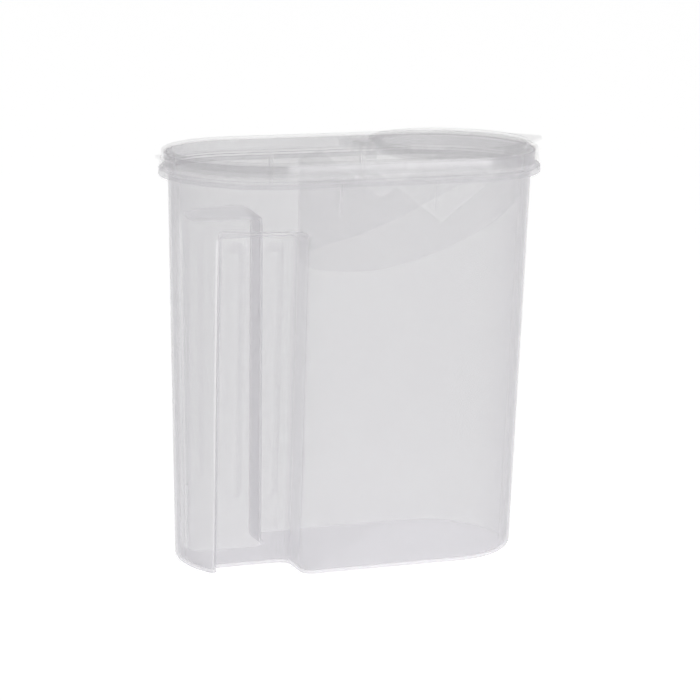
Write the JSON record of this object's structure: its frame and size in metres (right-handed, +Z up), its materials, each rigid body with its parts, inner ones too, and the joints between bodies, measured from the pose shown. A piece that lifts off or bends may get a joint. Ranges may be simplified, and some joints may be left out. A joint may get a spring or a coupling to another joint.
{
  "type": "cereal dispenser",
  "caption": "Tall racetrack-shaped translucent storage tub with a grip hollow at one end, a push-on lid and a round hinged flip cap over a pour chute.",
  "frame": {"origin": "on the ground under the centre of the tub's base", "axes": "+X along the long side towards the pour opening, +Y across the tub, +Z up"},
  "size_m": [0.2413, 0.1208, 0.2478],
  "materials": {
    "tub_plastic": "translucent polypropylene, soft gloss",
    "lid_plastic": "translucent polypropylene, soft gloss",
    "cap_plastic": "translucent polypropylene, soft gloss"
  },
  "bodies": {
    "tub": {"container_body": "tub_plastic"},
    "lid": {"lid": "lid_plastic"},
    "cap": {"flip_cap": "cap_plastic"}
  },
  "joints": [
    {"name": "lid_lift", "type": "slide", "parent": "tub", "child": "lid", "axis": [0, 0, 1], "range_m": [0, 0.09]},
    {"name": "cap_hinge", "type": "hinge", "parent": "lid", "child": "cap", "pos_m": [0.008, 0, 0.2435], "axis": [0, -1, 0], "range_deg": [0, 176]}
  ]
}
